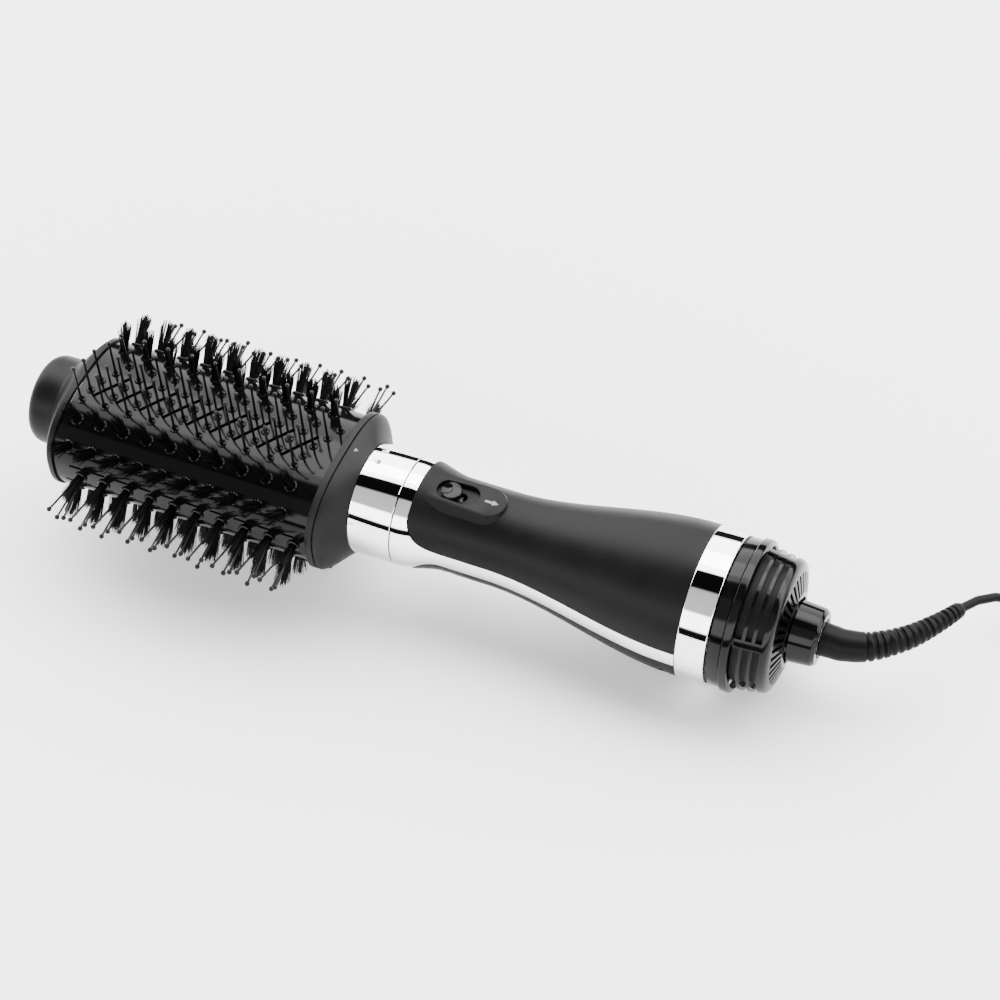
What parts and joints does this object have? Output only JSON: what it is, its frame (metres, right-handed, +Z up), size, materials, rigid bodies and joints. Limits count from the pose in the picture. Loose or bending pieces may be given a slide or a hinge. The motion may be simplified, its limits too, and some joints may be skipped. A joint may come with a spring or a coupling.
{
  "type": "hot air brush",
  "caption": "Hot-air styling brush: an oval barrel with ball-tipped pins and bristle tufts, on a round handle with a twist-lock head, slider, dial, air intake and swivelling lead.",
  "frame": {"origin": "on the table under the middle of the brush's box, without the free lead", "axes": "+X along the brush from the cool tip to the lead, +Z up, +Y towards the brush's left as seen from behind its lead end looking at the tip's far side; the brush's own axis falls 3.2 degrees towards +X"},
  "size_m": [0.5617, 0.1605, 0.0946],
  "materials": {
    "soft_touch_black": "soft-touch matt",
    "gloss_black": "polished",
    "ceramic_black": "gloss ceramic coating",
    "black_nylon": "satin",
    "black_rubber": "matt",
    "chrome": "mirror",
    "steel": "satin",
    "brass": "satin",
    "mica": "matt sheet",
    "board_green": "solder mask"
  },
  "bodies": {
    "handle": {"upper_shell": "soft_touch_black", "lower_shell": "soft_touch_black", "chrome_trim": "chrome", "lock_ring": "chrome", "shell_screw_1": "steel", "shell_screw_2": "steel", "shell_screw_3": "steel", "shell_screw_4": "steel", "rear_band": "chrome", "rear_frame": "soft_touch_black", "rotary_switch": "gloss_black", "circuit_board": "board_green", "intake_grille": "gloss_black", "intake_screen": "steel", "swivel_hub": "gloss_black", "air_duct": "black_nylon", "heat_shield": "mica", "mica_frame": "mica", "heater_coil": "steel", "thermostat": "steel", "thermal_fuse": "ceramic_black", "motor_carrier": "black_nylon", "fan_motor": "steel", "latch_spring": "steel"},
    "twist_ring": {"bayonet_ring": "black_nylon"},
    "brush_head": {"cool_tip": "soft_touch_black", "barrel": "ceramic_black", "upper_pin_plate": "black_nylon", "lower_pin_plate": "black_nylon", "near_tuft_rail_20": "black_nylon", "near_tuft_rail_50": "black_nylon", "near_tuft_rail_90": "black_nylon", "near_tuft_rail_130": "black_nylon", "near_tuft_rail_160": "black_nylon", "far_tuft_rail_20": "black_nylon", "far_tuft_rail_50": "black_nylon", "far_tuft_rail_90": "black_nylon", "far_tuft_rail_130": "black_nylon", "far_tuft_rail_160": "black_nylon", "front_frame": "black_nylon", "air_guide": "black_nylon", "tip_screw": "steel", "barrel_rim": "soft_touch_black", "neck_collar": "soft_touch_black", "head_spigot": "soft_touch_black"},
    "release_slider": {"slider_button": "soft_touch_black", "release_latch": "steel"},
    "dial": {"control_dial": "gloss_black"},
    "fan": {"fan_impeller": "black_nylon"},
    "cord_set": {"swivel_sleeve": "black_rubber", "strain_relief": "black_rubber", "cord_lead": "black_rubber", "cord_coil": "black_rubber", "plug_body": "black_rubber", "plug_blade_1": "brass", "plug_blade_2": "brass"}
  },
  "joints": [
    {"name": "head_twist", "type": "hinge", "parent": "handle", "child": "twist_ring", "pos_m": [-0.01213, 0, 0.04248], "axis": [-0.9984, 0, 0.0562], "range_deg": [0, 20]},
    {"name": "head_pull", "type": "slide", "parent": "twist_ring", "child": "brush_head", "axis": [-0.9984, 0, 0.0562], "range_m": [0, 0.032]},
    {"name": "release", "type": "slide", "parent": "handle", "child": "release_slider", "axis": [0.9984, 0, -0.0562], "range_m": [0, 0.005], "stiffness_N_per_m": 200, "springref_m": -0.008, "deforming": ["latch_spring"]},
    {"name": "dial_turn", "type": "hinge", "parent": "handle", "child": "dial", "pos_m": [0.14672, 0, 0.03354], "axis": [0.9984, 0, -0.0562], "range_deg": [0, 90]},
    {"name": "fan_spin", "type": "hinge", "parent": "handle", "child": "fan", "pos_m": [0.10109, 0, 0.03611], "axis": [0.9984, 0, -0.0562], "continuous": true},
    {"name": "cord_swivel", "type": "hinge", "parent": "handle", "child": "cord_set", "pos_m": [0.18376, 0, 0.03146], "axis": [0.9984, 0, -0.0562], "continuous": true}
  ]
}
